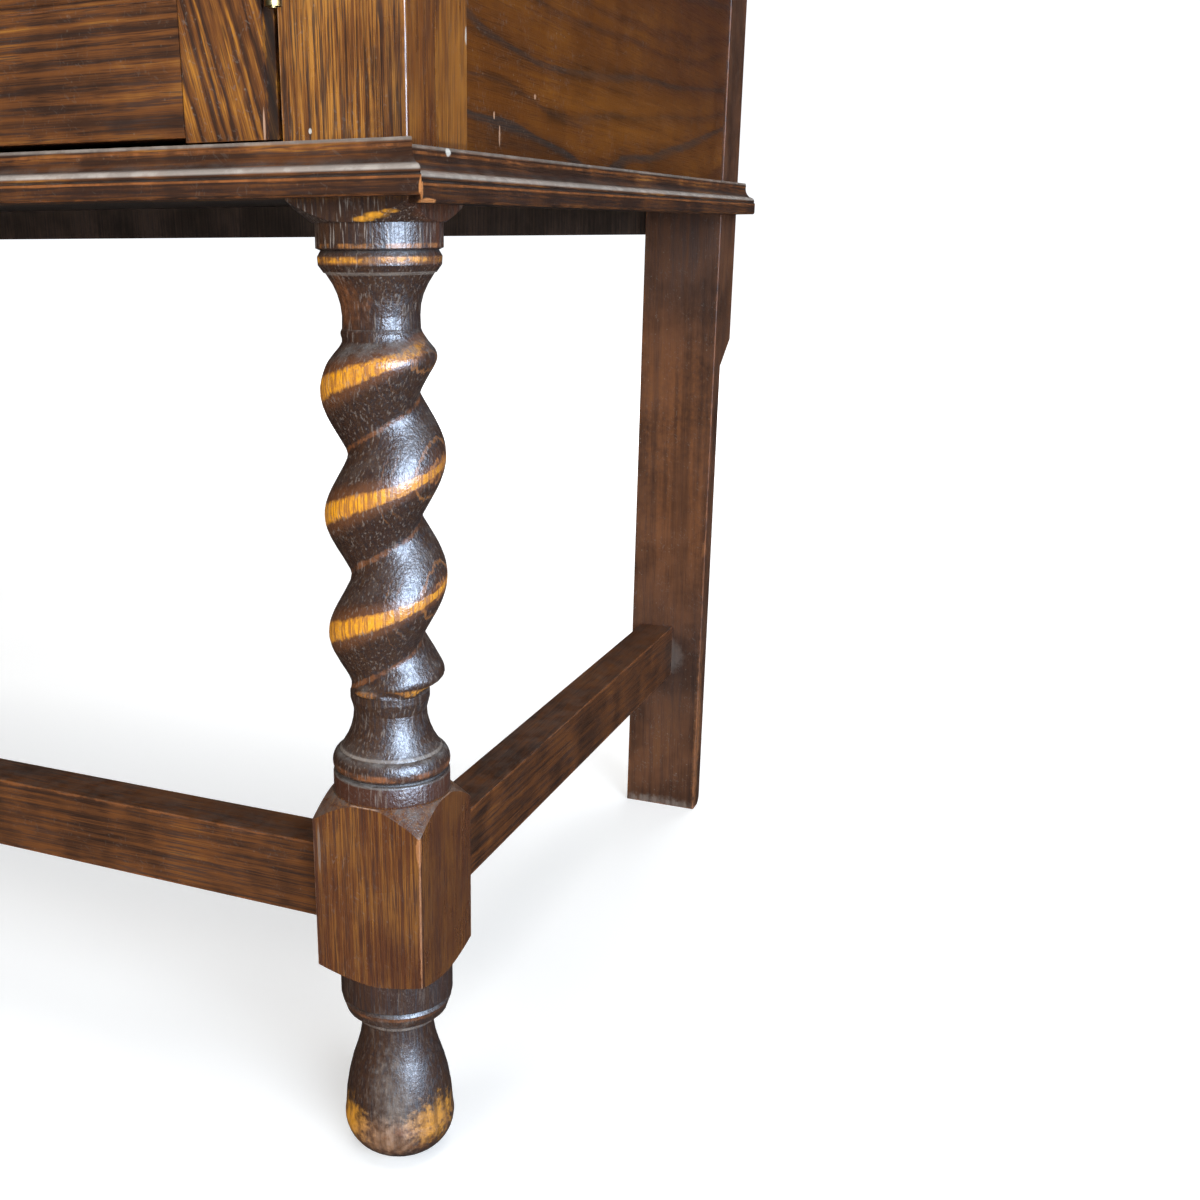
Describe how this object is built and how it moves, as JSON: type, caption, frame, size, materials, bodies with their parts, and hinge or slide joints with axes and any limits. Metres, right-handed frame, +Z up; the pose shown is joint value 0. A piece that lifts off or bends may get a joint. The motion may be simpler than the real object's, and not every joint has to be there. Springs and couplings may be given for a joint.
{
  "type": "buffet cabinet",
  "caption": "Dark oak buffet cabinet with drawers over panelled doors, barley-twist front legs, plank rear legs, stretchers and brass pear-drop handles.",
  "frame": {"origin": "on the floor, under the middle of the bounding box", "axes": "+X to the right seen from the front, +Y to the back, so the front faces -Y, +Z up"},
  "size_m": [1.07, 0.498, 0.94],
  "materials": {
    "dark_oak": "dark stain, waxed, satin",
    "inner_oak": "unfinished, matte",
    "brass": "aged, satin"
  },
  "bodies": {
    "case": {"front_right_leg": "dark_oak", "front_left_leg": "dark_oak", "rear_right_leg": "dark_oak", "rear_left_leg": "dark_oak", "front_stretcher": "dark_oak", "right_stretcher": "dark_oak", "left_stretcher": "dark_oak", "right_side_panel": "dark_oak", "left_side_panel": "dark_oak", "back_panel": "inner_oak", "top_board": "dark_oak", "bottom_board": "inner_oak", "shelf": "inner_oak", "shelf_bearers": "inner_oak", "top_rail": "dark_oak", "drawer_rail": "dark_oak", "bottom_rail": "dark_oak", "back_rails": "inner_oak", "centre_muntin": "dark_oak", "door_stop": "inner_oak", "front_base_moulding": "dark_oak", "right_base_moulding": "dark_oak", "left_base_moulding": "dark_oak", "drawer_runners": "inner_oak", "drawer_guides": "inner_oak", "drawer_kickers": "inner_oak", "catch_clips": "brass", "hinge_post_leaves": "brass", "hinge_pins": "brass"},
    "right_door": {"right_door_stiles": "dark_oak", "right_door_rails": "dark_oak", "right_door_panel": "dark_oak", "right_door_moulding": "dark_oak", "right_door_hinge_leaves": "brass", "right_door_pull_plate": "brass", "right_door_catch_stud": "brass"},
    "right_drawer": {"right_drawer_front": "dark_oak", "right_drawer_sides": "inner_oak", "right_drawer_back": "inner_oak", "right_drawer_bottom": "inner_oak", "right_drawer_pull_plates": "brass"},
    "right_door_drop": {"right_door_drop": "brass"},
    "right_drawer_inner_drop": {"right_drawer_inner_drop": "brass"},
    "right_drawer_outer_drop": {"right_drawer_outer_drop": "brass"},
    "left_door": {"left_door_stiles": "dark_oak", "left_door_rails": "dark_oak", "left_door_panel": "dark_oak", "left_door_moulding": "dark_oak", "left_door_hinge_leaves": "brass", "left_door_pull_plate": "brass", "left_door_catch_stud": "brass"},
    "left_drawer": {"left_drawer_front": "dark_oak", "left_drawer_sides": "inner_oak", "left_drawer_back": "inner_oak", "left_drawer_bottom": "inner_oak", "left_drawer_pull_plates": "brass"},
    "left_door_drop": {"left_door_drop": "brass"},
    "left_drawer_inner_drop": {"left_drawer_inner_drop": "brass"},
    "left_drawer_outer_drop": {"left_drawer_outer_drop": "brass"}
  },
  "joints": [
    {"name": "right_door_hinge", "type": "hinge", "parent": "case", "child": "right_door", "pos_m": [0.46775, -0.2295, 0.595], "axis": [0, 0, 1], "range_deg": [0, 110]},
    {"name": "right_drawer_slide", "type": "slide", "parent": "case", "child": "right_drawer", "axis": [0, -1, 0], "range_m": [0, 0.28]},
    {"name": "right_door_drop_swing", "type": "hinge", "parent": "right_door", "child": "right_door_drop", "pos_m": [0.045, -0.236, 0.60558], "axis": [-1, 0, 0], "range_deg": [0, 80]},
    {"name": "right_drawer_inner_drop_swing", "type": "hinge", "parent": "right_drawer", "child": "right_drawer_inner_drop", "pos_m": [0.13525, -0.236, 0.85133], "axis": [-1, 0, 0], "range_deg": [0, 80]},
    {"name": "right_drawer_outer_drop_swing", "type": "hinge", "parent": "right_drawer", "child": "right_drawer_outer_drop", "pos_m": [0.35675, -0.236, 0.85133], "axis": [-1, 0, 0], "range_deg": [0, 80]},
    {"name": "left_door_hinge", "type": "hinge", "parent": "case", "child": "left_door", "pos_m": [-0.46775, -0.2295, 0.595], "axis": [0, 0, -1], "range_deg": [0, 110]},
    {"name": "left_drawer_slide", "type": "slide", "parent": "case", "child": "left_drawer", "axis": [0, -1, 0], "range_m": [0, 0.28]},
    {"name": "left_door_drop_swing", "type": "hinge", "parent": "left_door", "child": "left_door_drop", "pos_m": [-0.045, -0.236, 0.60558], "axis": [-1, 0, 0], "range_deg": [0, 80]},
    {"name": "left_drawer_inner_drop_swing", "type": "hinge", "parent": "left_drawer", "child": "left_drawer_inner_drop", "pos_m": [-0.13525, -0.236, 0.85133], "axis": [-1, 0, 0], "range_deg": [0, 80]},
    {"name": "left_drawer_outer_drop_swing", "type": "hinge", "parent": "left_drawer", "child": "left_drawer_outer_drop", "pos_m": [-0.35675, -0.236, 0.85133], "axis": [-1, 0, 0], "range_deg": [0, 80]}
  ]
}
